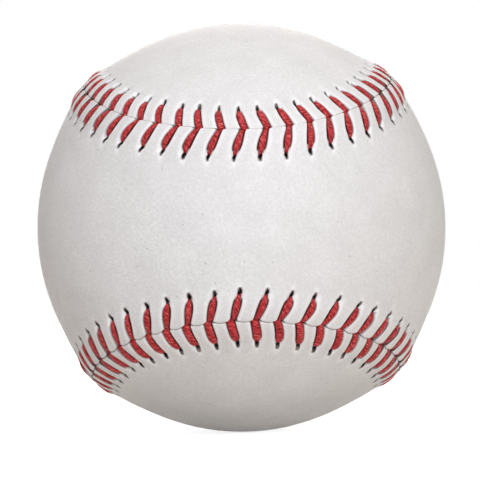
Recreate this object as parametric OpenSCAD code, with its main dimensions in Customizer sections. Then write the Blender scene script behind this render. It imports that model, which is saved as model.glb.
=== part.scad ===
// A hand-sewn baseball: a cork and rubber pill, four windings of yarn, and a leather cover of
// two panels sewn together with one long thread on two needles.
// The origin is the centre of the ball. The narrow neck of the front panel faces -Y and runs
// along X. The neck of the back panel faces +Y and runs along Z.

/* [Pill] */
// Diameter of the composition cork ball in the middle
cork_d = 20.6; // [18:0.2:24]
// Wall of the two black rubber half shells round the cork
black_wall = 4; // [3:0.1:5]
// Diameter of the two round openings where the half shells meet
opening_d = 6.4; // [4:0.2:9]
// Wall of the red rubber layer moulded over the half shells
red_wall = 2.4; // [1.5:0.1:3.5]

/* [Windings] */
// Depth of the first winding, of gray four-ply wool
gray_wool_depth = 13.8; // [12:0.1:15]
// Depth of the second winding, of white three-ply wool
white_wool_depth = 1.7; // [1:0.1:3]
// Depth of the third winding, of gray three-ply wool
finer_wool_depth = 2.2; // [1.5:0.1:3]
// Depth of the last winding, of fine white cotton
cotton_depth = 0.5; // [0.3:0.1:1]

/* [Cover] */
// Thickness of the leather
leather_t = 1.3; // [1:0.1:1.6]
// Film of glue between the cotton and the leather
glue_t = 0.2; // [0.2:0.05:0.3]
// Height of the seam above the rest of the ball
seam_rise = 1.4; // [1.2:0.1:2]
// Distance from the seam over which the leather falls to half that height
seam_reach = 6.6; // [5.5:0.1:8]
// How far the leather rolls down at its cut edge
edge_roll = 0.35; // [0.2:0.05:0.5]

/* [Seam line] */
// Furthest swing of the seam to the front and to the back, in degrees
seam_swing = 67.1; // [64:0.1:69]
// Flattening of the seam beside each neck, in degrees
neck_flat = 1.9; // [0:0.1:3]
// Swelling of the seam round each lobe, in degrees
lobe_swell = 20.5; // [18:0.5:22]

/* [Stitching] */
// Number of stitches round the seam, each with a leg on both panels
stitch_count = 108; // [100:4:112]
// Distance of the stitch holes from the seam
hole_offset = 4.4; // [4:0.1:4.8]
// Length of a stitch hole, which the pull of the thread stretches across the seam
hole_l = 1; // [0.8:0.05:1.1]
// Width of a stitch hole, along the seam
hole_w = 0.9; // [0.85:0.05:1.1]
// How far each hole lies behind the point of its stitch
hole_lag = 1.2; // [1:0.1:1.4]
// Width of the waxed thread where a leg lies on the leather
thread_w = 1.15; // [1:0.05:1.3]
// Width of the thread where it is squeezed in a hole or in the seam
thread_pinch = 0.65; // [0.55:0.05:0.7]
// Thickness of the flattened thread
thread_t = 0.5; // [0.4:0.05:0.55]
// Free play round the thread
thread_play = 0.06; // [0.04:0.01:0.08]

/* [Hidden] */
$fn = 96;

FRONT = -1;
BACK = 1;
LEFT = -1;
RIGHT = 1;
BOTTOM = -1;
TOP = 1;

// Radii of the layers, from the middle outwards
cork_r = cork_d / 2;
black_r = cork_r + black_wall;
pill_r = black_r + red_wall;
gray_wool_r = pill_r + gray_wool_depth;
white_wool_r = gray_wool_r + white_wool_depth;
finer_wool_r = white_wool_r + finer_wool_depth;
core_r = finer_wool_r + cotton_depth;
ball_r = core_r + glue_t + leather_t;

// The seam line is a closed curve, and t goes round it once in 360 degrees. It starts in the
// middle of the front panel's upper edge and runs to the right.
seam_steps = 720;
neck_t = 45;
function seam_dir(t) =
    let (swing = seam_swing * sin(2 * t) + neck_flat * sin(6 * t),
         turn = t - neck_t - lobe_swell * sin(4 * t))
    [cos(swing) * sin(turn), -sin(swing), cos(swing) * cos(turn)];
function step_t(i) = neck_t + i * 360 / seam_steps;

// Each pair is a length along the seam, on a ball of radius 1, and its t
seam_table = [
    for (i = 0, run = 0;
         i <= seam_steps;
         run = run + norm(seam_dir(step_t(i + 1)) - seam_dir(step_t(i))), i = i + 1)
        [run, step_t(i)]
];
unit_seam_length = seam_table[seam_steps][0];
seam_length = unit_seam_length * ball_r;

function unit(v) = v / norm(v);
function mix(a, b, share) = a * (1 - share) + b * share;
function seam_t(place) = lookup((place - floor(place)) * unit_seam_length, seam_table);

// A place on the seam is its share of the way round. Directions there along the seam, and at a
// distance beside it. The distance is negative on the front panel.
function along(place) =
    let (t = seam_t(place), step = 360 / seam_steps)
    unit(seam_dir(t + step) - seam_dir(t - step));
function beside(place, distance) =
    let (out = seam_dir(seam_t(place)), swing = distance / ball_r * 180 / PI)
    out * cos(swing) + cross(out, along(place)) * sin(swing);

// Radius of the leather's outer face at a distance from the seam
function leather_r(distance) = ball_r + seam_rise / (1 + pow(distance / seam_reach, 2));

// Place of the point of stitch k, and a place some distance past it. The hand-sewn stitches
// drift a little from an even spacing.
sew_start_share = 0.24;
sew_drift_share = 0.15;
function past_stitch(k, distance) =
    (k + sew_start_share - sew_drift_share * cos(360 * k / stitch_count)) / stitch_count
        + distance / seam_length;

// Half the open seam between the two cut edges, which the thread passes through
seam_half = thread_t / 2 + thread_play;
hole_near = hole_offset - hole_l / 2;
hole_far = hole_offset + hole_l / 2;
// The leather is highest this far from the seam, and falls to its cut edge
crest_share = 0.42;
crest_offset = crest_share * hole_offset;

// Each panel is spread from the seam to its middle line, which runs through the neck from the
// middle of one lobe to the middle of the other. Its points lie closer together in the lobes.
panel_rows = 6;
lobe_middle_share = 0.69;
neck_pace_share = 0.7;
lobe_middle = lobe_middle_share * (90 + seam_swing - neck_flat);
function lobe_share(side, k) =
    let (turn = 360 * k / stitch_count)
    asin(side == FRONT ? sin(turn) : cos(turn)) / 90;
function middle_dir(side, k) =
    let (share = lobe_share(side, k),
         turn = lobe_middle * share * (1 + neck_pace_share * (1 - abs(share))))
    side == FRONT
        ? [sin(turn), -cos(turn), 0]
        : [0, cos(turn), sin(turn)];
// Stitches that face each other across the middle line share their points on it
function middle_point(side, k) =
    let (facing = (side == FRONT ? 3 * stitch_count / 2 - k : stitch_count - k) % stitch_count)
    min(k, facing);

// Points of one face of a panel. The rows at the listed distances have two points a stitch, in
// line with the sides of its hole. The other rows have one.
function face_points(side, distances, drops) = concat(
    [for (row = [0 : len(distances) - 1], k = [0 : stitch_count - 1], end = [-1, 1])
        beside(past_stitch(k, end * hole_w / 2 - hole_lag), side * distances[row])
            * (leather_r(distances[row]) - drops[row])],
    [for (row = [1 : panel_rows], k = [0 : stitch_count - 1])
        let (start = beside(past_stitch(k, -hole_lag), side * hole_far),
             out = unit(mix(start, middle_dir(side, k), row / panel_rows)),
             distance = hole_far + acos(start * out) * PI / 180 * ball_r)
        out * (leather_r(distance) - drops[len(drops) - 1])]
);
function face_size(doubled) = (2 * doubled + panel_rows) * stitch_count;
function face_point(side, doubled, row, column) =
    let (k = floor(column / 2) % stitch_count)
    row < doubled
        ? 2 * row * stitch_count + column % (2 * stitch_count)
        : (doubled + row) * stitch_count
            + (row == doubled + panel_rows - 1 ? middle_point(side, k) : k);

// Two triangles for four corners, less any triangle that has no area
function triangles(corners) = [
    for (trio = [[0, 1, 2], [0, 2, 3]])
        let (a = corners[trio[0]], b = corners[trio[1]], c = corners[trio[2]])
        if (a != b && b != c && c != a) [a, b, c]
];
function turned(faces, over) = over ? [for (face = faces) [face[2], face[1], face[0]]] : faces;

// Rows with two points a stitch: the cut edge, the crest and the two sides of the holes on the
// outer face, and the same without the crest on the inner face
outer_doubled = 4;
inner_doubled = outer_doubled - 1;
near_row = outer_doubled - 2;
far_row = outer_doubled - 1;
function face_triangles(side, doubled, first) = [
    for (row = [0 : doubled + panel_rows - 2], column = [0 : 2 * stitch_count - 1])
        if (row != doubled - 2 || column % 2 == 1)
            each triangles([
                first + face_point(side, doubled, row, column),
                first + face_point(side, doubled, row, column + 1),
                first + face_point(side, doubled, row + 1, column + 1),
                first + face_point(side, doubled, row + 1, column)
            ])
];
// A wall between the outer and the inner face, from one outer row and column to another
function wall(side, rows, columns) =
    let (inner = face_size(outer_doubled))
    triangles([
        face_point(side, outer_doubled, rows[0], columns[0]),
        inner + face_point(side, inner_doubled, max(0, rows[0] - 1), columns[0]),
        inner + face_point(side, inner_doubled, max(0, rows[1] - 1), columns[1]),
        face_point(side, outer_doubled, rows[1], columns[1])
    ]);
function panel_walls(side) = [
    for (column = [0 : 2 * stitch_count - 1])
        each concat(
            wall(side, [0, 0], [column, column + 1]),
            column % 2 == 1 ? [] : concat(
                wall(side, [far_row, far_row], [column, column + 1]),
                wall(side, [near_row, near_row], [column + 1, column]),
                wall(side, [near_row, far_row], [column, column]),
                wall(side, [far_row, near_row], [column + 1, column + 1])
            )
        )
];

function panel_points(side) = concat(
    face_points(side, [seam_half, crest_offset, hole_near, hole_far], [edge_roll, 0, 0, 0]),
    face_points(side, [seam_half, hole_near, hole_far], [leather_t, leather_t, leather_t])
);
function panel_faces(side) = turned(
    concat(
        face_triangles(side, outer_doubled, 0),
        turned(face_triangles(side, inner_doubled, face_size(outer_doubled)), true),
        panel_walls(side)
    ),
    side == BACK
);

module cover_panel(side) {
    color("#ece9e6")
        polyhedron(points = panel_points(side), faces = panel_faces(side), convexity = 8);
}

// Each end of the thread has a leg on the front panel and then on the back panel by turns. A
// leg comes up through a hole, lies on the leather and dives into the seam, then the thread
// runs under the other panel to its next hole. The middle of the thread passes under stitch 0.
thread_sides = 5;
lay_h = thread_t / 2 + thread_play;
bed_r = core_r + glue_t + thread_play + thread_t / 2;
// Both ends of the thread enter the seam side by side, each this far from the stitch's point
enter_shift = thread_pinch / 2 + thread_play;
tail_share = 0.5;

// A station of the thread: its place, distance from the seam, radius, width and upper side
function leg_stations(k, side, upper) =
    let (hole_place = past_stitch(k, -hole_lag),
         crest_place = past_stitch(k, side * enter_shift - crest_share * hole_lag),
         seam_place = past_stitch(k, side * enter_shift))
    [
        [hole_place, side * hole_offset, bed_r, thread_pinch, upper],
        [hole_place, side * hole_offset, leather_r(hole_offset) + lay_h, thread_pinch, upper],
        [crest_place, side * crest_offset, leather_r(crest_offset) + lay_h, thread_w, upper],
        [seam_place, 0, leather_r(0) - edge_roll + lay_h, thread_pinch, upper],
        [seam_place, 0, bed_r, thread_pinch, upper]
    ];
function leg_side(k, first_side) = k % 2 == 0 ? first_side : -first_side;
function end_stations(first_side) = concat(
    [for (k = [0 : stitch_count - 1])
        let (side = leg_side(k, first_side))
        each leg_stations(k, side, -side * first_side)],
    let (last = stitch_count - 1, side = leg_side(last, first_side))
    [[
        past_stitch(last, tail_share * hole_lag),
        -side * tail_share * hole_offset,
        bed_r,
        thread_pinch,
        -side * first_side
    ]]
);
function reversed(list) = [for (i = [len(list) - 1 : -1 : 0]) list[i]];

module seam_thread() {
    stations = concat(
        reversed(end_stations(FRONT)),
        [[past_stitch(0, -hole_lag), 0, bed_r, thread_pinch, FRONT]],
        end_stations(BACK)
    );
    last = len(stations) - 1;
    line = [for (s = stations) beside(s[0], s[1]) * s[2]];
    points = [
        for (i = [0 : last])
            let (came = line[i] - line[max(i - 1, 0)],
                 goes = line[min(i + 1, last)] - line[i],
                 forward = i == 0 ? unit(goes) : i == last ? unit(came) : unit(unit(came) + unit(goes)),
                 seam_way = along(stations[i][0]),
                 wide = unit(seam_way - forward * (seam_way * forward)),
                 thick = cross(wide, forward))
            for (j = [0 : thread_sides - 1])
                let (turn = (stations[i][4] == FRONT ? 90 : 90 + 180 / thread_sides)
                        + 360 * j / thread_sides)
                line[i] + wide * cos(turn) * stations[i][3] / 2 + thick * sin(turn) * thread_t / 2
    ];
    sides = [
        for (i = [0 : last - 1], j = [0 : thread_sides - 1])
            let (next = (j + 1) % thread_sides)
            each triangles([
                i * thread_sides + j,
                i * thread_sides + next,
                (i + 1) * thread_sides + next,
                (i + 1) * thread_sides + j
            ])
    ];
    start_cap = [for (j = [thread_sides - 1 : -1 : 0]) j];
    end_cap = [for (j = [0 : thread_sides - 1]) last * thread_sides + j];
    color("#c4383f")
        polyhedron(points = points, faces = concat(sides, [start_cap, end_cap]), convexity = 8);
}

module shell(outer_r, inner_r) {
    difference() {
        sphere(outer_r);
        sphere(inner_r);
    }
}

module opening_bar() {
    rotate([0, 90, 0])
        cylinder(h = 2 * pill_r, d = opening_d, center = true);
}

module cork_center() {
    color("#a5794f")
        sphere(cork_r);
}

module black_rubber_shell(half) {
    color("#262626")
        difference() {
            shell(black_r, cork_r);
            opening_bar();
            translate([0, 0, -half * pill_r])
                cube(2 * pill_r, center = true);
        }
}

module rubber_gasket(side) {
    color("#9c2c26")
        intersection() {
            shell(black_r, cork_r);
            opening_bar();
            translate([side * pill_r, 0, 0])
                cube(2 * pill_r, center = true);
        }
}

module red_rubber_layer() {
    color("#a8322b")
        shell(pill_r, black_r);
}

module gray_wool_winding() {
    color("#8b8a86")
        shell(gray_wool_r, pill_r);
}

module white_wool_winding() {
    color("#e6e2d8")
        shell(white_wool_r, gray_wool_r);
}

module finer_wool_winding() {
    color("#94938f")
        shell(finer_wool_r, white_wool_r);
}

module cotton_winding() {
    color("#efece4")
        shell(core_r, finer_wool_r);
}

cork_center();
black_rubber_shell(TOP);  // black_rubber_shell_top
black_rubber_shell(BOTTOM);  // black_rubber_shell_bottom
rubber_gasket(LEFT);  // rubber_gasket_left
rubber_gasket(RIGHT);  // rubber_gasket_right
red_rubber_layer();
gray_wool_winding();
white_wool_winding();
finer_wool_winding();
cotton_winding();
cover_panel(FRONT);  // cover_panel_front
cover_panel(BACK);  // cover_panel_back
seam_thread();
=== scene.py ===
"""Looks of a hand-sewn baseball: the leather cover and its red stitches, and the layers inside."""

import math

import bpy
import numpy as np
from mathutils import Euler, Matrix, Vector


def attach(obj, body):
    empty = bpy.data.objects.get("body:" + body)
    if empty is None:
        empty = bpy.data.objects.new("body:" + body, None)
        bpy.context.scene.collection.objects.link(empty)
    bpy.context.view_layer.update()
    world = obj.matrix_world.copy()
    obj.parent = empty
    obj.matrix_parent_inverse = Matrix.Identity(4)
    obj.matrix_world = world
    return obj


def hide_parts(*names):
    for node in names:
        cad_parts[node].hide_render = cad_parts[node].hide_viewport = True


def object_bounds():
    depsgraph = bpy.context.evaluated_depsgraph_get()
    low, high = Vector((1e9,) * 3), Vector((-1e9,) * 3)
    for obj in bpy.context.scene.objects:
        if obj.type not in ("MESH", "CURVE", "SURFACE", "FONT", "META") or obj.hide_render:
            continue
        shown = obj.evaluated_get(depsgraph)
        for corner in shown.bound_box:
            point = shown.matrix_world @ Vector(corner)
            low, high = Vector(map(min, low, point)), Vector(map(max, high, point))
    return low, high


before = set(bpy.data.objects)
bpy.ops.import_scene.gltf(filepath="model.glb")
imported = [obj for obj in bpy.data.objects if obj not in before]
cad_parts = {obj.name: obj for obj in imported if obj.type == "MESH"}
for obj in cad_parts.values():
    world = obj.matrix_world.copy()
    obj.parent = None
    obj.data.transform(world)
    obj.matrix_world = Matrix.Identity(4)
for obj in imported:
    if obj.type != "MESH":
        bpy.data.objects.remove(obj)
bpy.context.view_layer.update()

MM = 0.001
FRONT, BACK = -1, 1


# The camera, at the photograph's angle and distance
IMAGE_SIDE = 480
SENSOR_WIDTH = 36
FOCAL_PIXELS = 2232
CAMERA_DISTANCE = 0.4004
BALL_MIDDLE = (241.5, 227.75)
BALL_TILT = Euler((-0.0182, -0.0276, 0.0103))

lens = bpy.data.cameras.new("camera")
lens.sensor_width = SENSOR_WIDTH
lens.lens = FOCAL_PIXELS / IMAGE_SIDE * SENSOR_WIDTH
lens.shift_x = (IMAGE_SIDE / 2 - BALL_MIDDLE[0]) / IMAGE_SIDE
lens.shift_y = (BALL_MIDDLE[1] - IMAGE_SIDE / 2) / IMAGE_SIDE
lens.clip_start = 0.01
camera = bpy.data.objects.new("camera", lens)
camera.matrix_world = (
    BALL_TILT.to_matrix().to_4x4().transposed()
    @ Matrix.Translation((0, -CAMERA_DISTANCE, 0))
    @ Matrix.Rotation(math.pi / 2, 4, "X")
)
bpy.context.collection.objects.link(camera)
bpy.context.scene.camera = camera


# Sizes of the ball in millimetres, the same as the solids have
BALL_R = 36.4
CORE_R = 34.9
GLUE_T = 0.2
LEATHER_T = 1.3
SEAM_RISE = 1.4
SEAM_REACH = 6.6
SEAM_SWING = math.radians(67.1)
NECK_FLAT = math.radians(1.9)
LOBE_SWELL = math.radians(20.5)
STITCHES = 108
ENTER_SHIFT = 0.385
BED_PLAY = 0.06
BED_THREAD_T = 0.5
BED_R = CORE_R + GLUE_T + BED_PLAY + BED_THREAD_T / 2


def unit(v):
    return v / np.linalg.norm(v, axis=-1, keepdims=True)


def smooth(x):
    """Rises from 0 to 1 as x does, level at both ends."""
    x = np.clip(x, 0, 1)
    return x * x * (3 - 2 * x)


def seam_dir(t):
    """Direction of the seam from the middle of the ball, once round as t grows by a full turn."""
    swing = SEAM_SWING * np.sin(2 * t) + NECK_FLAT * np.sin(6 * t)
    turn = t - math.pi / 4 - LOBE_SWELL * np.sin(4 * t)
    return np.stack([np.cos(swing) * np.sin(turn), -np.sin(swing), np.cos(swing) * np.cos(turn)], -1)


SEAM_POINTS = 7201
SEAM_T = np.linspace(math.pi / 4, math.pi * 9 / 4, SEAM_POINTS)
SEAM_RUN = np.r_[0, np.cumsum(np.linalg.norm(np.diff(seam_dir(SEAM_T), axis=0), axis=1))] * BALL_R
SEAM_LENGTH = SEAM_RUN[-1]
TINY_TURN = 0.004


def seam_t(run):
    """The t of the seam that many millimetres along it."""
    return np.interp(run % SEAM_LENGTH, SEAM_RUN, SEAM_T)


def seam_way(t):
    """The way that the seam runs at t."""
    return unit(seam_dir(t + TINY_TURN) - seam_dir(t - TINY_TURN))


# How the hand sewing strays from the even curve: the number of a stitch, and the millimetres
# across and along the seam there
STRAYS = (
    (0, -0.32, -0.15), (2, -0.45, -0.05), (4, -0.15, -0.1), (6, 0.1, 0), (9, 0.35, -0.2),
    (13, 0, 0), (41, 0, 0.2), (45, -0.2, 0.2), (47, -0.1, -0.12), (50, 0, -0.3), (53, 0, -0.1),
    (56, -0.2, 0.15), (58, -0.22, 0.15), (61, -0.15, -0.1), (65, 0, 0), (96, 0, 0),
    (100, 0, 0.3), (104, -0.2, 0), (108, -0.32, -0.15),
)
ACROSS, ALONG = 1, 2
STRAY_STEPS = 8


def stray(run, way):
    """How far the sewing strays across or along the seam, evened out over two stitches."""
    table = np.array(STRAYS)
    over = 2 * STRAY_STEPS
    fine = np.arange(-over, STRAY_STEPS * STITCHES + over + 1) / STRAY_STEPS
    amount = np.interp(fine % STITCHES, table[:, 0], table[:, way])
    amount = np.convolve(amount, np.ones(over + 1) / (over + 1), "same")
    return np.interp(run % SEAM_LENGTH, fine / STITCHES * SEAM_LENGTH, amount)


def beside(run, distance):
    """Direction of a point that far along the seam and beside it, negative on the front panel."""
    t = seam_t(run)
    out = seam_dir(t)
    swing = ((distance + stray(run, ACROSS)) / BALL_R)[..., None]
    return out * np.cos(swing) + np.cross(out, seam_way(t)) * np.sin(swing)


def leather_r(distance):
    """Radius of the leather that far from the seam, where it swells to a ridge."""
    return BALL_R + SEAM_RISE / (1 + (distance / SEAM_REACH) ** 2)


# Where each stitch lies along the seam. The hand drifts slowly round the ball, and the two
# parts of the seam that the photograph shows are at stitch 0 and at stitch 54.
SEW_START = 0.32
SEW_DRIFT = 0.23
HAND_SEED = 7
hand = np.random.default_rng(HAND_SEED)
stitch = np.arange(STITCHES)
drift = np.cos(stitch * 2 * math.pi / STITCHES)
stitch_run = (stitch + SEW_START - SEW_DRIFT * drift) / STITCHES * SEAM_LENGTH
stitch_run += stray(stitch_run, ALONG)

# Near this stitch the legs on the back panel stand almost upright
TURNED_STITCH = 57
TURNED_REACH = 3.5
turned = np.exp(-((stitch - TURNED_STITCH) / TURNED_REACH) ** 2)

# The holes, as ovals that narrow and slant away from the seam, in millimetres
HOLE_DISTANCE = 4.4
HOLE_HALF_L = 0.74
HOLE_TAPER = 0.12
HOLE_SLANT = 0.08

# The legs on the front panel and on the back panel, before the hand makes each one its own.
# Lengths are in millimetres.
#   lag: how far the hole lies before the stitch, along the seam
#   hole: how far the hole lies from the seam
#   bend: how evenly the leg slants, where 1 is a straight one
#   bulge: how far the leg bows out sideways
#   width: of the thread in the middle of the leg
#   end: width of the thread at the seam
#   taper: share of the leg that narrows towards the hole
#   enter: how far past the stitch the leg dives into the seam
#   puff: how high the leather swells between the legs
#   hole_half: half the width of the hole
LEG_MIDDLES = {
    FRONT: {
        "lag": 1.22,
        "hole": 4.5 + 0.05 * drift,
        "bend": 1.15,
        "bulge": 0.08,
        "width": 1.1,
        "end": 0.68,
        "taper": 0.4,
        "enter": 0.08,
        "puff": 0.22,
        "hole_half": 0.25,
    },
    BACK: {
        "lag": 0.66 - 0.05 * drift - 0.8 * turned,
        "hole": 4.3 - 0.3 * drift,
        "bend": 1.4 + 0.1 * drift,
        "bulge": 0.06 - 0.06 * drift - 0.22 * turned,
        "width": 1.17 - 0.08 * drift,
        "end": 1.12 - 0.05 * drift,
        "taper": 0.44 + 0.08 * drift,
        "enter": ENTER_SHIFT + 0.05,
        "puff": 0.22,
        "hole_half": 0.3 - 0.05 * drift,
    },
}
LEG_SPREADS = {
    "lag": 0.14,
    "hole": 0.08,
    "bend": 0.1,
    "bulge": 0.06,
    "width": 0.05,
    "end": 0.05,
    "taper": 0.04,
    "enter": 0.04,
    "puff": 0.03,
    "hole_half": 0.02,
}


def by_hand(middle, spread):
    """A number for each stitch, near the middle one."""
    return middle + np.clip(hand.normal(0, spread, STITCHES), -2 * spread, 2 * spread)


LEGS = {
    side: {key: by_hand(middles[key], spread) for key, spread in LEG_SPREADS.items()}
    for side, middles in LEG_MIDDLES.items()
}
SEAM_TAPER = 0.5


def leg_x(leg, share):
    """How far past its stitch a leg's middle lies. The share is 0 at the seam and 1 at the hole."""
    gone = 1 - np.clip(share, 0, 1)
    lag, enter, bend, bulge = (leg[key][:, None] for key in ("lag", "enter", "bend", "bulge"))
    return -lag + (lag + enter) * gone ** bend - bulge * 4 * gone * (1 - gone)


def leg_width(leg, share):
    """Width of the thread along a leg."""
    full, end, taper = (leg[key][:, None] for key in ("width", "end", "taper"))
    hole = 2 * leg["hole_half"][:, None]
    near_hole = hole + (full - hole) * smooth((1 - share) / taper)
    near_seam = end + (full - end) * smooth(share / SEAM_TAPER)
    return np.minimum(near_hole, near_seam)


def groove_depth(share):
    """How far the leather sinks under a leg, which arches over it between its two ends."""
    return GROOVE + GROOVE_ENDS * (2 * np.clip(share, 0, 1) - 1) ** 2


# The leather panels. A panel is a grid: its rows run along the seam, and its columns run from the
# seam to the middle line of the panel. Each stitch has its own columns, and the ones beside a leg
# follow the edges of the thread. Rows are given by their distance from the seam, and columns by
# their distance from the edge of the thread or by their share of the way to the next leg.
SEAM_ROWS = np.array([
    0, 0.05, 0.12, 0.24, 0.42, 0.68, 1.0, 1.4, 1.8, 2.2, 2.6, 2.95, 3.25, 3.48,
    3.66, 4.03, 4.4, 4.77, 5.14, 5.38, 5.7, 6.1, 6.75, 7.6,
])
HOLE_ROW = 14
HOLE_CELLS = 4
BESIDE_LEG = (0.12, 0.28, 0.42)
BETWEEN_LEGS = (0.14, 0.31, 0.5, 0.69, 0.86)
# The rows from the last of those to the middle line lie closer together at first
MIDDLE_ROWS = 13
MIDDLE_PACE = 1.15
# The inner face needs only some of the rows
INNER_ROWS = (0, 7, 13, 14, 15, 16, 17, 18, 20, 23, 25, 28, 32, 36)
# The middle line runs from lobe to lobe, and its points lie closer together in the lobes
LOBE_MIDDLE_SHARE = 0.69
LOBE_MIDDLE = LOBE_MIDDLE_SHARE * (math.pi / 2 + SEAM_SWING - NECK_FLAT)
NECK_PACE = 0.7

# The cut edges: the gap between them, how far the thread pushes them apart and where, how far the
# front one bulges over the seam between the stitches, and how they roll down
GAP = 0.012
NOTCH = 0.1
NOTCH_HALF = 0.8
NOTCH_SHIFT = 0.15
OVERHANG = 0.16 - 0.19 * drift
ROLL = 0.17 - 0.1 * drift
ROLL_W = 0.35

# The leather sinks this far under the middle of a leg, and this much more at its two ends. It is
# drawn in round a hole, over so many times the size of the hole.
GROOVE = 0.2
GROOVE_ENDS = 0.42
GROOVE_WALL = 0.18
DIMPLE = 0.1
DIMPLE_SPREAD = 2

# Where these forms and marks fade out, from and to, in millimetres from the seam
STITCHED_ZONE = (5.3, 7.6)
PUFF_ZONE = (2.4, 5.3)
GROOVE_ZONE = (4, 5.1)
HIGHLIGHT_ZONE = (4.4, 5.2)
CREASE_SHADE_ZONE = (3.4, 3.8)

# How far the painted shade and the painted highlight reach from the edge of the groove, from the
# cut edge, and from the rim of a hole in sizes of the hole
CREASE_SHADE_W = 0.14
EDGE_SHADE_W = 0.13
EDGE_SHADE = 0.18 - 0.18 * drift
HOLE_SHADE_W = 0.25
HIGHLIGHT_START = 0.3
HIGHLIGHT_W = 0.35
HOLE_HIGHLIGHT_START = 1.2

# The seam is straight at every quarter of its stitches and turns between them. On its turns the
# leather is bunched up between the legs, and its painted shade beside the thread, round the holes
# and along the cut edge is wider, reaches further and is darker: 0 is straight and 1 is on a turn.
QUARTER = STITCHES / 4
TURN_START = 3
TURN_END = 9
from_straight = np.abs((stitch + QUARTER / 2) % QUARTER - QUARTER / 2)
BUNCHED = smooth((from_straight - TURN_START) / (TURN_END - TURN_START))
BUNCH_PUFF = 0.06
BUNCH_SHADE_W = 0.16
BUNCH_SHADE_REACH = 0.9
BUNCH_HOLE_SHADE_W = 0.8
BUNCH_EDGE_SHADE = 0.3


def middle_dir(side, k):
    """Direction of the point of the panel's middle line that belongs to stitch k."""
    turn = 2 * math.pi * k / STITCHES
    share = np.arcsin(np.sin(turn) if side == FRONT else np.cos(turn)) / (math.pi / 2)
    turn = LOBE_MIDDLE * share * (1 + NECK_PACE * (1 - np.abs(share)))
    zero = np.zeros_like(turn)
    parts = [np.sin(turn), -np.cos(turn), zero] if side == FRONT else [zero, np.cos(turn), np.sin(turn)]
    return np.stack(parts, -1)


def of_next(values):
    """The same numbers for the next stitch."""
    return np.roll(values, -1, axis=0)


def fade(distance, zone):
    """Falls from 1 where a zone starts to 0 where it ends."""
    start, end = zone
    return smooth((end - distance) / (end - start))


def stitch_columns(leg):
    """Where the columns of each stitch lie in each row: the length from the stitch's own leg, the
    room to the next leg, and the place of its own leg along the seam."""
    share = SEAM_ROWS[None, :] / HOLE_DISTANCE
    keep = fade(SEAM_ROWS, STITCHED_ZONE)
    mean = -leg["lag"].mean()
    slant = HOLE_SLANT * np.clip(SEAM_ROWS - HOLE_DISTANCE + HOLE_HALF_L, 0, 2 * HOLE_HALF_L)
    place = stitch_run[:, None] + mean + (leg_x(leg, share) - slant - mean) * keep
    room = of_next(place)
    room[-1] += SEAM_LENGTH
    room -= place
    past_rim = np.arange(len(SEAM_ROWS)) >= HOLE_ROW
    edge = np.where(past_rim, leg["hole_half"][:, None], leg_width(leg, share) / 2 + BESIDE_LEG[0])
    near = [0 * edge, edge / 2, edge, edge + BESIDE_LEG[1] - BESIDE_LEG[0], edge + BESIDE_LEG[2]]
    far = [room - of_next(n) for n in near[:0:-1]]
    middle = [near[-1] + (far[0] - near[-1]) * part for part in BETWEEN_LEGS]
    beyond = np.stack(near + middle + far, -1)
    even = room[..., None] * np.arange(beyond.shape[-1]) / beyond.shape[-1]
    beyond = even + (beyond - even) * keep[:, None]
    return place, room, beyond


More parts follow.
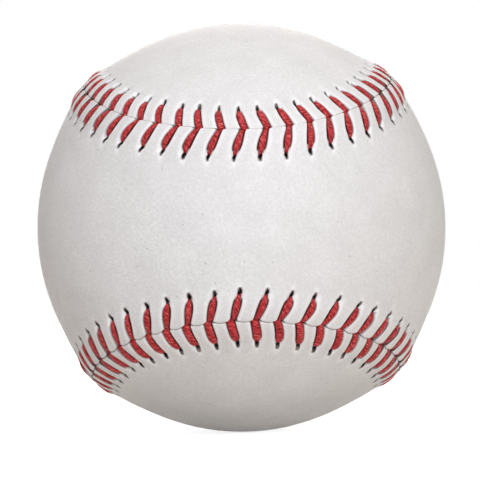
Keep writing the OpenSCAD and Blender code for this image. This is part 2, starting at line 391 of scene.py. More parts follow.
def panel_surface(side):
    """Points of the outer and of the inner face. The marks say where the leather gets a painted
    highlight, beside the thread and round the holes, and where it gets painted shade, in the groove
    beside the thread, round the holes and along the cut edge."""
    leg = LEGS[side]
    place, room, beyond = stitch_columns(leg)
    columns = beyond.shape[-1]
    run = place[..., None] + beyond
    phase = beyond / room[..., None]
    to_leg = np.minimum(beyond, room[..., None] - beyond)
    share = SEAM_ROWS[None, :] / HOLE_DISTANCE
    half = leg_width(leg, share)[..., None] / 2
    half = np.where(phase < 0.5, half, of_next(half))
    rows = SEAM_ROWS[None, :, None]

    # The cut edge gives way where the thread passes through the seam, and between the stitches the
    # front panel bulges over the middle of the seam
    from_stitch = run[:, :1] - stitch_run[:, None, None] - NOTCH_SHIFT
    notch = sum(np.exp(-((from_stitch - at) / NOTCH_HALF) ** 4) for at in (0, room.mean()))
    bulging = np.sin(math.pi * from_stitch / room.mean()) ** 2
    edge = GAP + NOTCH * notch + side * OVERHANG[:, None, None] * bulging
    hole = leg["hole"][:, None, None]
    hole = hole + (of_next(hole) - hole) * phase
    scale = 1 + (hole / HOLE_DISTANCE - 1) * fade(rows, STITCHED_ZONE)
    distance = rows * scale + edge * np.clip(1 - rows / HOLE_DISTANCE, 0, 1)

    # The cells at each hole are drawn in to an oval. The distance to a hole is 1 at its rim.
    own_hole = place, leg["hole"], leg["hole_half"]
    next_hole = place + room, of_next(leg["hole"]), of_next(leg["hole_half"])
    for column in range(-2, 3):
        centre, off, half_w = next_hole if column < 0 else own_hole
        for row in range(HOLE_CELLS + 1):
            aside, out_from, at = column / 2, row / 2 - 1, HOLE_ROW + row
            wide = half_w * (1 - HOLE_TAPER * out_from) * math.sqrt(1 - out_from ** 2 / 2)
            long = HOLE_HALF_L * math.sqrt(1 - aside ** 2 / 2)
            run[:, at, column % columns] = centre[:, at] + aside * wide
            distance[:, at, column % columns] = off + out_from * long
    to_hole = np.full(run.shape, np.inf)
    for centre, off, half_w in (own_hole, next_hole):
        aside = (run - centre[:, HOLE_ROW + HOLE_CELLS // 2, None, None]) / half_w[:, None, None]
        out_from = (distance - off[:, None, None]) / HOLE_HALF_L
        to_hole = np.minimum(to_hole, np.hypot(aside, out_from))

    # Relief over the plain rise of the seam: the leather swells between the legs, sinks under
    # them, rolls down at its cut edge and is drawn in at the holes
    bunched = BUNCHED[:, None, None] + (of_next(BUNCHED) - BUNCHED)[:, None, None] * phase
    puff = (leg["puff"][:, None, None] + BUNCH_PUFF * bunched) * (1 - np.abs(2 * phase - 1) ** 4)
    puff = puff * fade(distance, PUFF_ZONE)
    from_groove = to_leg - half - BESIDE_LEG[0]
    groove = groove_depth(share)[..., None] * (1 - smooth(from_groove / GROOVE_WALL))
    groove = groove * fade(distance, GROOVE_ZONE)
    rolled = np.clip(1 - (distance - edge) / ROLL_W, 0, 1)
    roll = ROLL[:, None, None] * (1 - np.sqrt(1 - rolled ** 2))
    dimple = DIMPLE * np.exp(-(to_hole / DIMPLE_SPREAD) ** 2)
    rise = leather_r(distance)

    # The marks: a painted highlight, and painted shade in the groove beside the thread, round the holes and
    # along the cut edge
    # Painted highlight: the leather is painted whiter beside the thread and round each hole
    beside_leg = np.clip(to_leg - half - HIGHLIGHT_START, 0, None)
    pull = np.exp(-(beside_leg / HIGHLIGHT_W) ** 2) * fade(distance, HIGHLIGHT_ZONE)
    pull = np.maximum(pull, np.exp(-np.clip(to_hole - HOLE_HIGHLIGHT_START, 0, None) ** 2))
    # Painted shade: dark in the groove beside the thread, at the rim of each hole and along the cut edge
    crease = 1 - smooth((from_groove - BUNCH_SHADE_W * bunched) / CREASE_SHADE_W)
    crease = crease * fade(distance - BUNCH_SHADE_REACH * bunched, CREASE_SHADE_ZONE)
    at_hole = 1 - smooth((to_hole - 1) / (HOLE_SHADE_W + BUNCH_HOLE_SHADE_W * bunched))
    at_edge = EDGE_SHADE[:, None, None] + BUNCH_EDGE_SHADE * bunched
    at_edge = at_edge * (1 - smooth((distance - edge) / EDGE_SHADE_W))
    crease = np.maximum(crease, np.maximum(at_hole, at_edge))

    def in_rows(values):
        return values.transpose(1, 0, 2).reshape(len(SEAM_ROWS), STITCHES * columns)

    out = beside(in_rows(run), side * in_rows(distance))
    outer = out * in_rows(rise + puff - groove - roll - dimple)[..., None]
    inner = out * in_rows(rise - LEATHER_T)[..., None]
    pull, crease = in_rows(pull), in_rows(crease)

    # From the last of these rows to the middle line
    goal = middle_dir(side, np.arange(STITCHES * columns) / columns)
    part = (np.arange(1, MIDDLE_ROWS + 1) / MIDDLE_ROWS)[:, None, None] ** MIDDLE_PACE
    way = unit(out[-1] * (1 - part) + goal * part)
    far = SEAM_ROWS[-1] + np.arccos(np.clip((out[-1] * way).sum(-1), -1, 1)) * BALL_R
    plain = leather_r(far)[..., None]
    outer = np.concatenate([outer, way * plain])
    inner = np.concatenate([inner, way * (plain - LEATHER_T)])
    marks = {"pull": np.concatenate([pull, 0 * far]), "crease": np.concatenate([crease, 0 * far])}
    return outer, inner, marks


def mesh_piece(name, points, faces, materials, kinds=None, attributes=None):
    """A new piece from points in millimetres. Kinds are the faces' materials, and attributes are
    numbers of the points that a material reads."""
    used = np.unique(faces)
    renumber = np.zeros(len(points), int)
    renumber[used] = np.arange(len(used))
    mesh = bpy.data.meshes.new(name)
    corners = [list(dict.fromkeys(face)) for face in renumber[faces].tolist()]
    real = [n for n, face in enumerate(corners) if len(face) > 2]
    mesh.from_pydata((points[used] * MM).tolist(), [], [corners[n] for n in real])
    if kinds is not None:
        mesh.polygons.foreach_set("material_index", kinds[real].tolist())
    mesh.polygons.foreach_set("use_smooth", [True] * len(real))
    for material in materials:
        mesh.materials.append(material)
    for key, values in (attributes or {}).items():
        kind, entry = ("FLOAT", "value") if values.ndim == 1 else ("FLOAT_VECTOR", "vector")
        mesh.attributes.new(key, kind, "POINT").data.foreach_set(entry, values[used].ravel().tolist())
    mesh.update()
    piece = bpy.data.objects.new(name, mesh)
    bpy.context.collection.objects.link(piece)
    return piece


# The wall of a hole: the depth of each ring of points under the rim, and by what share the hole is
# narrower there at its far end. The wall gets painted shade, dark from the rim down and darker with
# depth, and some far ends are painted lighter, as if lit.
HOLE_WALL = ((0.12, 0.1), (0.5, 0.45))
HOLE_DARK = 0.9
HOLE_DARKENS = 0.8
LIT_END = 0.9


def leather_panel(side, name, solid, materials):
    """One panel of the cover, as a closed sheet with its holes cut through."""
    outer, inner, marks = panel_surface(side)
    rows, columns = outer.shape[:2]
    per_stitch = columns // STITCHES
    own = np.arange(columns)
    facing = 3 * columns // 2 if side == FRONT else columns
    top = np.arange(rows * columns).reshape(rows, columns)
    # Points that face each other across the middle line are one point there, and the point at
    # each end of it is one with its neighbour
    opposite = (facing - own) % columns
    joined = np.minimum(own, opposite)
    joined[own == opposite] = np.roll(joined, -1)[own == opposite]
    top[-1] = top[-1][joined]
    bottom = top + rows * columns
    points = [outer.reshape(-1, 3), inner.reshape(-1, 3)]
    faces, kinds = [], []

    def strip(lower, upper, kind, skip=None):
        """Faces between two rings of points."""
        ring = np.stack([lower, np.roll(lower, -1), np.roll(upper, -1), upper], -1)
        faces.append(ring if skip is None else ring[~skip])
        kinds.append(np.full(len(faces[-1]), kind))

    at_hole = np.isin(own % per_stitch, (0, 1, per_stitch - 2, per_stitch - 1))
    hole_rows = range(HOLE_ROW, HOLE_ROW + HOLE_CELLS)
    for row in range(rows - 1):
        strip(top[row], top[row + 1], 0, at_hole if row in hole_rows else None)
    for low, high in zip(INNER_ROWS, INNER_ROWS[1:]):
        strip(bottom[high], bottom[low], 1, at_hole if low in hole_rows else None)
    strip(bottom[0], top[0], 1)

    # Walls of the holes, which narrow on their way through the leather
    across = range(-2, 2)
    ring = [(0, c) for c in across] + [(r, 2) for r in range(HOLE_CELLS)]
    ring += [(HOLE_CELLS, -c) for c in across] + [(HOLE_CELLS - r, -2) for r in range(HOLE_CELLS)]
    ring = np.array(ring)
    count = sum(len(p) for p in points)
    shades, lit_end = [], hand.uniform(0, LIT_END, STITCHES)
    for k in range(STITCHES):
        picked = (HOLE_ROW + ring[:, 0], (k * per_stitch + ring[:, 1]) % columns)
        rim, below = top[picked], bottom[picked]
        mouth = outer[picked]
        middle = mouth.mean(0)
        away = middle - outer[HOLE_ROW - 2, (k * per_stitch) % columns]
        far = np.clip(((mouth - middle) * away).sum(1, keepdims=True) / (away ** 2).sum() * 2, 0, 1)
        for depth, narrow in HOLE_WALL:
            inside = middle + (mouth - middle) * (1 - narrow * far)
            points.append(inside * (1 - depth / BALL_R))
            # Painted shade on the wall of the hole, less at the far end of some holes
            shades.append(np.clip(depth * HOLE_DARKENS + HOLE_DARK - lit_end[k] * far[:, 0], 0, 1))
            level = count + np.arange(len(ring))
            count += len(ring)
            strip(rim, level, 1)
            rim = level
        strip(rim, below, 1)

    faces, kinds = np.concatenate(faces), np.concatenate(kinds)
    points = np.concatenate(points)
    plain = np.zeros(inner.size // 3)
    marks = {key: np.r_[m.ravel(), plain, *shades] for key, m in marks.items()}
    if side == FRONT:
        faces = faces[:, ::-1]
    piece = mesh_piece(name, points, faces, materials, kinds, marks)
    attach(piece, "root")
    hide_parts(solid)


# The thread: three plies twisted together, pressed flat on the leather. A leg comes up at the near
# side of its hole, lies on the leather and dives into the seam. Each of its stations has its place
# along the seam, its distance beside it, its radius, its width and its thickness.
SIDES = 16
SQUARENESS = 0.85
PLIES = 3
PLY_RELIEF = 0.035
PLY_PITCH = 2.3
THREAD_T = 0.54
# Radius, width and thickness on the bed under the leather
BED_STATION = (BED_R, 0.6, 0.45)
# In the hole: how much nearer the seam, depth under the leather, width and thickness
FROM_RIM = 0.19
HOLE_STATIONS = ((0, 0.8, 0.5, 0.4), (0.02, 0.4, 0.52, 0.38))
# On the leather: share of the way from the seam to the hole, and height over the groove
LIFTS = ((0.84, 0.2), (0.76, 0.3), (0.66, 0.35), (0.55, 0.37), (0.44, 0.37), (0.33, 0.37),
         (0.22, 0.36), (0.11, 0.31))
# In the seam: distance from its middle, share of the groove, height over the groove, share of the
# leg's width at the seam, and thickness
SEAM_STATIONS = ((0.14, 0.03, 0.2, 1, 0.42), (0.04, 0, -0.08, 0.97, 0.38), (0, 0, -0.18, 0.8, 0.4))
# How finely each stretch between two stations is rounded
RINGS = (1, 1) + (2,) * 10 + (1, 1)
# The two ends of the thread lie under the leather beside the last stitch, and its middle lies
# under the first one
START_BEFORE = 1.2
TAIL_PAST = 0.6
# Its sides and its underside get painted shade from this height on, as a share of half its thickness
SHADED_BELOW = 0.45


def leg_stations(side):
    leg = LEGS[side]
    rows = []

    def station(x, distance, radius, width, thickness):
        parts = (stitch_run + x, side * distance, radius, width, thickness)
        rows.append(np.stack(np.broadcast_arrays(*parts), -1))

    near = leg["hole"] - HOLE_HALF_L + FROM_RIM
    station(-leg["lag"], near, *BED_STATION)
    for nearer, depth, width, thickness in HOLE_STATIONS:
        station(-leg["lag"], near - nearer, leather_r(near) - depth, width, thickness)
    for share, lift in LIFTS:
        at = np.array([[share]])
        distance = leg["hole"] * share
        station(leg_x(leg, at)[:, 0], distance, leather_r(distance) - groove_depth(share) + lift,
                leg_width(leg, at)[:, 0], THREAD_T)
    for distance, share, lift, narrow, thickness in SEAM_STATIONS:
        station(leg["enter"], distance, leather_r(0) - groove_depth(share) + lift,
                leg["end"] * narrow, thickness)
    station(leg["enter"], 0, *BED_STATION)
    return np.stack(rows, 1)


def rounded(stations, rings):
    """More stations between the given ones, on a smooth curve through them."""
    padded = np.concatenate([stations[:1], stations, stations[-1:]])
    out = []
    for i, count in enumerate(rings):
        a, b, c, d = padded[i:i + 4]
        for step in range(count):
            t = step / count
            out.append((2 * b + (c - a) * t + (2 * a - 5 * b + 4 * c - d) * t ** 2
                        + (3 * b - a - 3 * c + d) * t ** 3) / 2)
    return np.stack(out + [stations[-1]])


def seam_thread(material):
    """The whole thread, from one end through all the stitches and back to the other end."""
    legs = {side: leg_stations(side) for side in LEGS}

    def end_of_thread(first):
        line = []
        for k in range(STITCHES):
            side = first if k % 2 == 0 else -first
            line.append(rounded(legs[side][k], RINGS))
        tail = [[stitch_run[-1] + TAIL_PAST, first * HOLE_DISTANCE / 2, *BED_STATION]]
        return np.concatenate(line + [tail])

    start = np.array([[stitch_run[0] - START_BEFORE, 0, *BED_STATION]])
    path = np.concatenate([end_of_thread(FRONT)[::-1], start, end_of_thread(BACK)])
    run, distance, radius, width, thickness = path.T
    line = beside(run, distance) * radius[:, None]
    gone = unit(np.gradient(line, axis=0))
    way = seam_way(seam_t(run))
    wide = unit(way - gone * (way * gone).sum(-1, keepdims=True))
    up = np.cross(wide, gone)
    length = np.r_[0, np.cumsum(np.linalg.norm(np.diff(line, axis=0), axis=1))][:, None]
    angle = np.arange(SIDES)[None, :] * 2 * math.pi / SIDES
    twisted = angle - length * 2 * math.pi / PLY_PITCH
    ply = 1 + PLY_RELIEF * np.cos(PLIES * twisted)
    cosine, sine = np.cos(angle), np.sin(angle)
    width[[0, -1]] = thickness[[0, -1]] = 0
    across = np.sign(cosine) * np.abs(cosine) ** SQUARENESS * ply * width[:, None] / 2
    high = np.sign(sine) * np.abs(sine) ** SQUARENESS * ply * thickness[:, None] / 2
    points = line[:, None] + wide[:, None] * across[..., None] + up[:, None] * high[..., None]
    strand = np.stack([np.cos(twisted), np.sin(twisted), length + 0 * angle], -1)
    outward = (up * unit(line)).sum(-1, keepdims=True)
    # Painted shade on the sides and the underside of the thread
    low = smooth(SHADED_BELOW - sine * outward)
    index = np.arange(len(path) * SIDES).reshape(-1, SIDES)
    index[[0, -1]] = index[[0, -1], :1]
    after = np.roll(index, -1, axis=1)
    faces = np.stack([index[:-1], index[1:], after[1:], after[:-1]], -1).reshape(-1, 4)
    return mesh_piece("red_stitches", points.reshape(-1, 3), faces, [material],
                      attributes={"strand": strand.reshape(-1, 3), "low": low.ravel()})


# The wound yarn inside. Each layer is a shell whose outer face shows band over band of yarn, each
# band wound round the ball its own way. Its sizes are in millimetres, and the yarn is drawn up to
# three times as coarse as it is.
GRID_CELLS = 124
INNER_CELLS = 30
BAND_W = 11
BANDS = 90
WINDER_SEED = 20
# How far the fibres of one band are shifted from those of the band before
FIBRE_SHIFT = 5
YARN_LAYERS = {
    # outer radius, inner radius, width of the yarn, height of a strand, height of a band
    "gray_wool_winding": (30.5, 16.7, 2.2, 0.5, 0.4),
    "white_wool_winding": (32.2, 30.5, 2, 0.4, 0.3),
    "finer_wool_winding": (34.4, 32.2, 1.8, 0.35, 0.3),
    "cotton_winding": (34.9, 34.4, 1.6, 0.16, 0.12),
}


def ball_grid(cells):
    """Directions and square faces all round a ball, as on a cube that is blown up."""
    at = np.tan((np.arange(cells + 1) / cells - 0.5) * math.pi / 2)
    side = np.stack(np.broadcast_arrays(at[:, None], at[None, :], 1.0), -1)
    sides = np.stack([np.roll(side * [1, 1, up], turn, -1) for up in (1, -1) for turn in range(3)])
    numbers = np.arange(sides.size // 3).reshape(sides.shape[:3])
    faces = np.stack([numbers[:, :-1, :-1], numbers[:, 1:, :-1], numbers[:, 1:, 1:],
                      numbers[:, :-1, 1:]], -1)
    faces[3:] = faces[3:, ..., ::-1]
    way, same = np.unique(unit(sides.reshape(-1, 3)).round(6), axis=0, return_inverse=True)
    return unit(way), same.ravel()[faces.reshape(-1, 4)]


def yarn_layer(name, material, number):
    """One winding, as a closed shell with the strands of its last bands in relief."""
    outer_r, inner_r, yarn_w, strand_h, band_h = YARN_LAYERS[name]
    winder = np.random.default_rng(WINDER_SEED + number)
    way, faces = ball_grid(GRID_CELLS)
    inner_way, inner_faces = ball_grid(INNER_CELLS)
    height, ridge = np.zeros((2, len(way)))
    strand = np.zeros((len(way), 3))
    for band in range(BANDS):
        axis = unit(winder.normal(size=3))
        # Some direction square to the axis, from which the turn along the band is measured
        start = unit(np.cross(axis, axis[::-1] + 0.1))
        off = way @ axis * outer_r
        in_band = np.abs(off) < BAND_W / 2
        share = off / yarn_w % 1
        round_top = np.sqrt(1 - (2 * share - 1) ** 2)
        along = np.arctan2(way @ np.cross(axis, start), way @ start) * outer_r
        level = winder.random() * band_h
        for values, new in ((height, level + strand_h * round_top), (ridge, round_top),
                            (strand, np.stack([off, along, 0 * off + FIBRE_SHIFT * band], -1))):
            values[in_band] = new[in_band]
    radius = outer_r - strand_h - band_h + height
    points = np.concatenate([way * radius[:, None], inner_way * inner_r])
    faces = np.concatenate([faces, inner_faces[:, ::-1] + len(way)])
    plain = np.zeros(len(inner_way))
    piece = mesh_piece(name.replace("winding", "yarn"), points, faces, [material], attributes={
        "ridge": np.r_[ridge, plain + 1], "strand": np.r_[strand, inner_way * inner_r],
    })
    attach(piece, "root")
    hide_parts(name)
    return piece


def linear(hex_colour):
    """An sRGB hex value as the linear colour that the shaders work in."""
    parts = [int(hex_colour[i:i + 2], 16) / 255 for i in (1, 3, 5)]
    return [p / 12.92 if p <= 0.04045 else ((p + 0.055) / 1.055) ** 2.4 for p in parts] + [1]


def apart(size):
    """Scale of a pattern whose marks lie that many millimetres apart."""
    return 1 / (size * MM)


def node_adder(tree):
    """A function that adds a node with its settings and links. Settings in_0, in_1 and so on are
    values of its inputs, stops are those of a colour ramp, and a hex value is a colour. Links _0,
    _1 and so on, or an input's own name, feed its inputs."""
    def node(kind, settings=None, **links):
        made = tree.nodes.new("ShaderNode" + kind)
        for key, value in (settings or {}).items():
            if key == "stops":
                elements = made.color_ramp.elements
                while len(elements) < len(value):
                    elements.new(0.5)
                for element, (place, colour) in zip(elements, value):
                    element.position = place
                    element.color = linear(colour)
            elif key.startswith("in_"):
                colour = isinstance(value, str)
                made.inputs[int(key[3:])].default_value = linear(value) if colour else value
            else:
                setattr(made, key, value)
        for key, source in links.items():
            tree.links.new(source, made.inputs[int(key[1:])] if key[1:].isdigit() else made.inputs[key])
        return made

    return node


def finish(name):
    """A new material, its shader's inputs, and the functions that link sockets and add nodes."""
    material = bpy.data.materials.new(name)
    material.use_nodes = True
    tree = material.node_tree
    return material, tree.nodes["Principled BSDF"].inputs, tree.links.new, node_adder(tree)


def grain_leather():
    """White cowhide, grain side out: satin and almost even, with soft clouds, a fine pebble grain
    and a few dull pores. The real grain is about half as wide, which is too fine to show. Beside the
    thread and round the holes a painted highlight makes the skin whiter, and painted shade darkens it
    in the groove beside the thread, at the holes and along the cut edge."""
    material, shader, link, node = finish("grain_leather")
    place = node("TexCoord").outputs["Object"]
    cloud = node("TexNoise", {"in_2": apart(6.2), "in_3": 3}, _0=place)
    base = node("ValToRGB", {"stops": ((0.3, "#ebe9e7"), (0.7, "#f3f1ef"))}, _0=cloud.outputs[0])
    fine = node("TexNoise", {"in_2": apart(0.42), "in_3": 3, "in_4": 0.7}, _0=place)
    dull = node("MapRange", {"in_1": 0.42, "in_2": 0.62, "in_3": 0.17, "in_4": 0}, _0=fine.outputs[0])
    pores = node("TexVoronoi", {"in_2": apart(1.6)}, _0=place)
    round_pit = node("MapRange", {"in_1": 0.02, "in_2": 0.13, "in_3": 1, "in_4": 0},
                     _0=pores.outputs["Distance"])
    each = node("SeparateColor", None, _0=pores.outputs["Color"])
    depth = node("MapRange", {"in_1": 0.5, "in_2": 1, "in_3": 0, "in_4": 0.75}, _0=each.outputs[0])
    pit = node("Math", {"operation": "MULTIPLY"}, _0=round_pit.outputs[0], _1=depth.outputs[0])
    colour = base.outputs[0]
    # Over the base go the fine grain, the pores, the painted highlight and the painted shade
    for share, tint in (
        (dull.outputs[0], "#b3aca6"),
        (pit.outputs[0], "#8f857b"),
        (node("Attribute", {"attribute_name": "pull"}).outputs["Fac"], "#fdfcfb"),
        (node("Attribute", {"attribute_name": "crease"}).outputs["Fac"], "#4a2422"),
    ):
        colour = node("Mix", {"data_type": "RGBA", "in_7": tint}, _0=share, _6=colour).outputs[2]
    link(colour, shader["Base Color"])
    uneven = node("TexNoise", {"in_2": apart(1.1), "in_3": 3}, _0=place)
    satin = node("MapRange", {"in_1": 0.3, "in_2": 0.7, "in_3": 0.53, "in_4": 0.63}, _0=uneven.outputs[0])
    link(satin.outputs[0], shader["Roughness"])
    pebble = node("TexVoronoi", {"in_2": apart(0.43), "feature": "SMOOTH_F1"}, _0=place)
    grain = node("Math", {"operation": "MULTIPLY_ADD", "in_1": 0.6},
                 _0=pebble.outputs[0], _2=uneven.outputs[0])
    relief = node("Math", {"operation": "SUBTRACT"}, _0=grain.outputs[0], _1=pit.outputs[0])
    bump = node("Bump", {"in_0": 0.5, "in_1": 0.15 * MM}, Height=relief.outputs[0])
    link(bump.outputs[0], shader["Normal"])
    return material


def raw_leather():
    """The flesh side and the cut edges: tan and matte, with short loose fibres, and painted shade
    that makes them almost black deep in the holes."""
    material, shader, link, node = finish("raw_leather")
    place = node("TexCoord").outputs["Object"]
    fibres = node("TexNoise", {"in_2": apart(0.33), "in_3": 3}, _0=place)
    base = node("ValToRGB", {"stops": ((0.3, "#8f7e6e"), (0.7, "#c2b3a2"))}, _0=fibres.outputs[0])
    # Painted shade, almost black deep in the holes and darker at the cut edge
    deep = node("Attribute", {"attribute_name": "crease"}).outputs["Fac"]
    shaded = node("Mix", {"data_type": "RGBA", "in_7": "#140d0b"}, _0=deep, _6=base.outputs[0])
    link(shaded.outputs[2], shader["Base Color"])
    matte = node("MapRange", {"in_3": 0.85, "in_4": 0.95}, _0=fibres.outputs[0])
    link(matte.outputs[0], shader["Roughness"])
    bump = node("Bump", {"in_0": 0.4, "in_1": 0.1 * MM}, Height=fibres.outputs[0])
    link(bump.outputs[0], shader["Normal"])
    return material


def waxed_cotton():
    """Red cotton thread, twisted and waxed. Its fibre tone runs at random from deep red, which also
    stands for painted shade between the fibres, to pale, which is a painted glint of the wax, and
    painted shade darkens its sides and its underside. The fibres run with the twist and are drawn
    three times as coarse as they are, to show."""
    material, shader, link, node = finish("waxed_cotton")
    strand = node("Attribute", {"attribute_name": "strand"}).outputs["Vector"]
    along = node("Mapping", {"vector_type": "POINT", "in_3": (1.1, 1.1, 2)}, _0=strand)
    fibre = node("TexNoise", {"in_2": 1.25, "in_3": 3, "in_4": 0.7}, _0=along.outputs[0])
    # From painted shade between the fibres, through the thread's red, to a painted glint of the wax
    reds = (0.37, "#5a0d11"), (0.45, "#ab2529"), (0.56, "#ca3337"), (0.67, "#e98178")
    base = node("ValToRGB", {"stops": reds}, _0=fibre.outputs[0])
    # Painted shade on the sides and the underside of the thread
    low = node("Attribute", {"attribute_name": "low"}).outputs["Fac"]
    shaded = node("Mix", {"data_type": "RGBA", "in_7": "#3d0b0e"}, _0=low, _6=base.outputs[0])
    link(shaded.outputs[2], shader["Base Color"])
    waxy = node("MapRange", {"in_1": 0.35, "in_2": 0.65, "in_3": 0.62, "in_4": 0.5}, _0=fibre.outputs[0])
    link(waxy.outputs[0], shader["Roughness"])
    shader["Specular IOR Level"].default_value = 0.25
    bump = node("Bump", {"in_0": 0.7, "in_1": 0.2 * MM}, Height=fibre.outputs[0])
    link(bump.outputs[0], shader["Normal"])
    return material


def yarn(name, dark, light):
    """Yarn of a wound layer: fuzzy fibres, a slow change of tone, and painted shade between the strands."""
    material, shader, link, node = finish(name)
    strand = node("Attribute", {"attribute_name": "strand"}).outputs["Vector"]
    fibre = node("TexNoise", {"in_2": 2.2, "in_3": 4, "in_4": 0.7}, _0=strand)
    base = node("ValToRGB", {"stops": ((0.35, dark), (0.65, light))}, _0=fibre.outputs[0])
    ridge = node("Attribute", {"attribute_name": "ridge"})
    # Painted shade in the valleys between the strands
    between = node("MapRange", {"in_1": 0, "in_2": 0.7, "in_3": 0.75, "in_4": 0}, _0=ridge.outputs["Fac"])
    shaded = node("Mix", {"data_type": "RGBA", "in_7": "#2c2925"}, _0=between.outputs[0], _6=base.outputs[0])
    link(shaded.outputs[2], shader["Base Color"])
    fuzzy = node("MapRange", {"in_3": 0.8, "in_4": 1}, _0=fibre.outputs[0])
    link(fuzzy.outputs[0], shader["Roughness"])
    bump = node("Bump", {"in_0": 0.6, "in_1": 0.3 * MM}, Height=fibre.outputs[0])
    link(bump.outputs[0], shader["Normal"])
    return material


def pressed_cork():
    """Cork crumbs of 1 to 2 mm, brown and matte, pressed together with a dark rubber between them."""
    material, shader, link, node = finish("pressed_cork")
    place = node("TexCoord").outputs["Object"]
    crumbs = node("TexVoronoi", {"in_2": apart(1.5)}, _0=place)
    each = node("SeparateColor", None, _0=crumbs.outputs["Color"])
    browns = (0, "#7a5030"), (0.5, "#a5794f"), (1, "#c39a6b")
    base = node("ValToRGB", {"stops": browns}, _0=each.outputs[0])
    edge = node("MapRange", {"in_1": 0.45, "in_2": 0.75}, _0=crumbs.outputs["Distance"])
    bound = node("Mix", {"data_type": "RGBA", "in_7": "#3a2416"}, _0=edge.outputs[0], _6=base.outputs[0])
    link(bound.outputs[2], shader["Base Color"])
    matte = node("MapRange", {"in_3": 0.75, "in_4": 0.95}, _0=each.outputs[1])
    link(matte.outputs[0], shader["Roughness"])
    bump = node("Bump", {"in_0": 0.5, "in_1": 0.3 * MM, "invert": True}, Height=crumbs.outputs["Distance"])
    link(bump.outputs[0], shader["Normal"])
    return material


def moulded_rubber(name, dark, light):
    """Rubber from a mould: almost even, with a dull bloom in clouds and a fine skin."""
    material, shader, link, node = finish(name)
    place = node("TexCoord").outputs["Object"]
    bloom = node("TexNoise", {"in_2": apart(8), "in_3": 4}, _0=place)
    base = node("ValToRGB", {"stops": ((0.35, dark), (0.7, light))}, _0=bloom.outputs[0])
    link(base.outputs[0], shader["Base Color"])
    dull = node("MapRange", {"in_1": 0.3, "in_2": 0.7, "in_3": 0.45, "in_4": 0.7}, _0=bloom.outputs[0])
    link(dull.outputs[0], shader["Roughness"])
    skin = node("TexNoise", {"in_2": apart(0.4), "in_3": 2}, _0=place)
    bump = node("Bump", {"in_0": 0.3, "in_1": 0.1 * MM}, Height=skin.outputs[0])
    link(bump.outputs[0], shader["Normal"])
    return material


def dress(material, *names):
    """Solids that keep their shape get their material on the slots of their objects."""
    for name in names:
        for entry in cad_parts[name].material_slots:
            entry.link = "OBJECT"
            entry.material = material


leather = [grain_leather(), raw_leather()]
leather_panel(FRONT, "front_leather", "cover_panel_front", leather)
leather_panel(BACK, "back_leather", "cover_panel_back", leather)
stitches = seam_thread(waxed_cotton())
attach(stitches, "root")
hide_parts("seam_thread")

YARNS = {
    # name of the yarn, its dark and its light shade, and the slot of its material
    "gray_wool_winding": ("gray_wool", "#6f6d68", "#a5a39d", "gray_wool"),
    "white_wool_winding": ("white_wool", "#cfc8ba", "#f2eee4", "white_wool"),
    "finer_wool_winding": ("fine_gray_wool", "#7b7974", "#aeaca6", "gray_wool"),
    "cotton_winding": ("finishing_cotton", "#dcd6c8", "#f8f5ed", "cotton"),
}
for number, (name, (looks, dark, light, slot)) in enumerate(YARNS.items()):
    yarn_layer(name, yarn(looks, dark, light), number)

dress(pressed_cork(), "cork_center")
dress(moulded_rubber("black_rubber", "#171616", "#2d2b2a"),
      "black_rubber_shell_top", "black_rubber_shell_bottom")
dress(moulded_rubber("red_rubber", "#8e2620", "#b03a31"),
      "rubber_gasket_left", "rubber_gasket_right", "red_rubber_layer")


# The studio: a pale floor, a white backdrop and soft lamps. Each lamp has its turn and height in
# degrees as seen from the ball, its size in metres, its power in watts and its colour.
LAMP_DISTANCE = 0.85
ROOM_LIGHT = 0.05
FLOOR_SIZE = 4
LAMPS = {
    "front_lamp": (2, 20, 0.45, 3.22, "#f0f4fe"),
    "upper_lamp": (-14, 60, 0.45, 2.5, "#f3f8ff"),
    "left_lamp": (-70, 72, 0.45, 0.62, "#ffd2a6"),
    "right_lamp": (110, 60, 0.45, 0.6, "#fff7ea"),
    "low_front_lamp": (14, 1, 0.15, 0.9, "#f8f7f5"),
    "low_right_lamp": (72, 1, 0.15, 0.8, "#fff8ee"),
    "back_lamp": (180, 42, 0.45, 0.9, "#fffaf4"),
    "low_back_lamp": (180, 12, 0.45, 2.3, "#fdfcfa"),
}


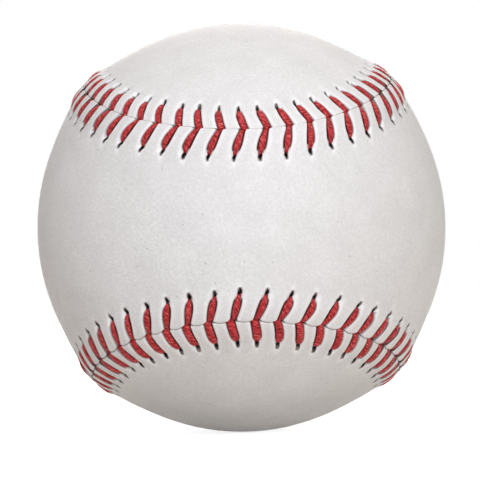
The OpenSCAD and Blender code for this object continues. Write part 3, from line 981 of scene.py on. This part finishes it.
def lamp(name, turn, height, size, power, colour):
    turn, height = math.radians(turn), math.radians(height)
    place = LAMP_DISTANCE * Vector((
        math.sin(turn) * math.cos(height), -math.cos(turn) * math.cos(height), math.sin(height)
    ))
    data = bpy.data.lights.new(name, "AREA")
    data.shape = "DISK"
    data.size = size
    data.energy = power
    data.color = linear(colour)[:3]
    made = bpy.data.objects.new(name, data)
    made.location = place
    made.rotation_euler = place.to_track_quat("Z", "Y").to_euler()
    bpy.context.collection.objects.link(made)


for name, facts in LAMPS.items():
    lamp(name, *facts)


def backdrop_rays(node):
    """1 for the rays that show the backdrop: the camera's own, mirrored ones and ones through glass."""
    path = node("LightPath")
    either = path.outputs["Is Camera Ray"]
    for kind in ("Is Glossy Ray", "Is Transmission Ray"):
        either = node("Math", {"operation": "MAXIMUM"}, _0=either, _1=path.outputs[kind]).outputs[0]
    return either


world = bpy.data.worlds.new("studio")
world.use_nodes = True
bpy.context.scene.world = world
background = world.node_tree.nodes["Background"].inputs
background["Color"].default_value = (1, 1, 1, 1)
node = node_adder(world.node_tree)
strength = node("Mix", {"data_type": "FLOAT", "in_2": ROOM_LIGHT, "in_3": 1}, _0=backdrop_rays(node))
world.node_tree.links.new(strength.outputs[0], background["Strength"])

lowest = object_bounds()[0].z
bpy.ops.mesh.primitive_plane_add(size=FLOOR_SIZE, location=(0, 0, lowest))
floor = bpy.context.object
floor.name = "floor"
pale_floor, shader, link, node = finish("pale_floor")
shader["Roughness"].default_value = 0.9
shader["Specular IOR Level"].default_value = 0
# To the eye the floor is white, with a little shadow near the ball. The light that it throws back
# on the ball is that of its pale colour alone.
shown = backdrop_rays(node)
pale = node("Mix", {"data_type": "RGBA", "in_6": "#d8d2ca", "in_7": "#ffffff"}, _0=shown)
link(pale.outputs[2], shader["Base Color"])
far = node("VectorMath", {"operation": "LENGTH"}, _0=node("TexCoord").outputs["Object"])
shine = node("MapRange", {"in_1": 0.06, "in_2": 0.3, "in_3": 0.8, "in_4": 1}, _0=far.outputs["Value"])
glow = node("Math", {"operation": "MULTIPLY"}, _0=shown, _1=shine.outputs[0])
link(glow.outputs[0], shader["Emission Strength"])
shader["Emission Color"].default_value = (1, 1, 1, 1)
floor.data.materials.append(pale_floor)

bpy.context.scene.view_settings.view_transform = "Standard"
